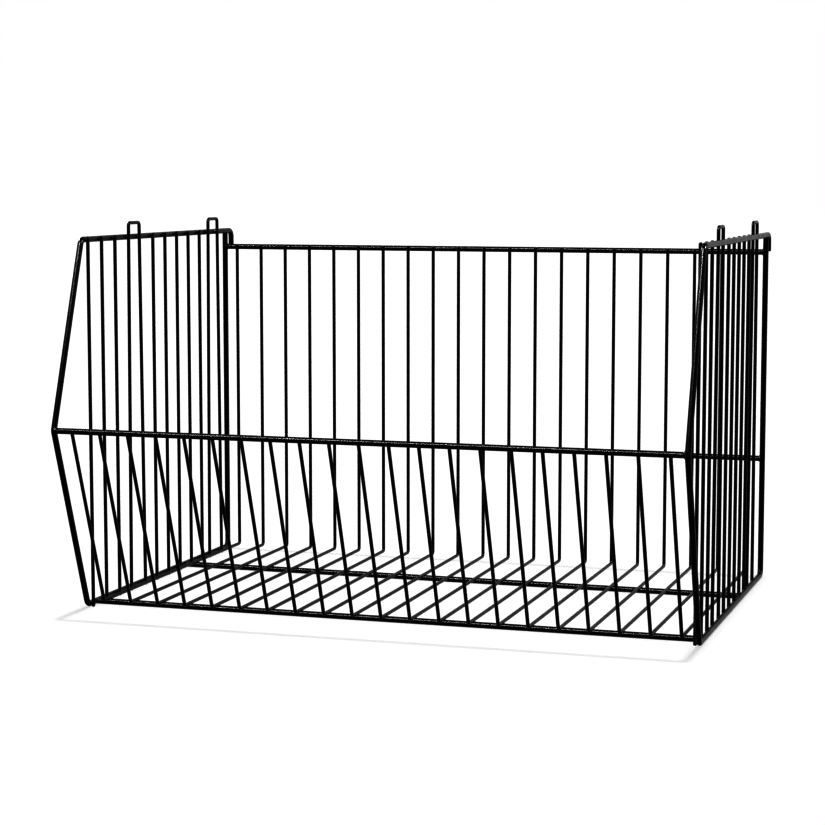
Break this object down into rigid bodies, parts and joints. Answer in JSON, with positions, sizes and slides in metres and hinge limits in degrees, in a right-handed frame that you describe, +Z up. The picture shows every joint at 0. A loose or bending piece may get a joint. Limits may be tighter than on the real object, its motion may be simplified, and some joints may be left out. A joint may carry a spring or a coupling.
{
  "type": "wire mesh container",
  "caption": "Open-front stackable basket of bent rods and welded wires, with a low slanted front, stacking loops on both sides and back hooks.",
  "frame": {"origin": "on the floor, below the middle of the basket's bounding box", "axes": "+X across the basket from its left side to its right side as seen from the open front, +Y from the open front to the back, +Z up"},
  "size_m": [0.6106, 0.449, 0.3756],
  "materials": {
    "rod_coat": "black powder coat, satin, over bent and straight heavy steel rod",
    "wire_coat": "black powder coat, satin, over thin steel wire"
  },
  "bodies": {
    "root": {"back_top_rail": "rod_coat", "back_middle_rail": "rod_coat", "floor_back_rail": "rod_coat", "floor_front_rail": "rod_coat", "front_middle_rail": "rod_coat", "side_frame_left": "rod_coat", "side_frame_right": "rod_coat", "panel_wire_01": "wire_coat", "panel_wire_02": "wire_coat", "panel_wire_03": "wire_coat", "panel_wire_04": "wire_coat", "panel_wire_05": "wire_coat", "panel_wire_06": "wire_coat", "panel_wire_07": "wire_coat", "panel_wire_08": "wire_coat", "panel_wire_09": "wire_coat", "panel_wire_10": "wire_coat", "panel_wire_11": "wire_coat", "panel_wire_12": "wire_coat", "panel_wire_13": "wire_coat", "panel_wire_14": "wire_coat", "panel_wire_15": "wire_coat", "panel_wire_16": "wire_coat", "panel_wire_17": "wire_coat", "panel_wire_18": "wire_coat", "panel_wire_19": "wire_coat", "panel_wire_20": "wire_coat", "panel_wire_21": "wire_coat", "side_wire_left_1": "wire_coat", "side_wire_left_2": "wire_coat", "side_wire_left_3": "wire_coat", "side_wire_left_4": "wire_coat", "side_wire_left_5": "wire_coat", "side_wire_left_6": "wire_coat", "side_wire_left_7": "wire_coat", "side_wire_left_8": "wire_coat", "side_wire_right_1": "wire_coat", "side_wire_right_2": "wire_coat", "side_wire_right_3": "wire_coat", "side_wire_right_4": "wire_coat", "side_wire_right_5": "wire_coat", "side_wire_right_6": "wire_coat", "side_wire_right_7": "wire_coat", "side_wire_right_8": "wire_coat", "stacking_loop_left_front": "wire_coat", "stacking_loop_left_back": "wire_coat", "stacking_loop_right_front": "wire_coat", "stacking_loop_right_back": "wire_coat"}
  },
  "joints": []
}
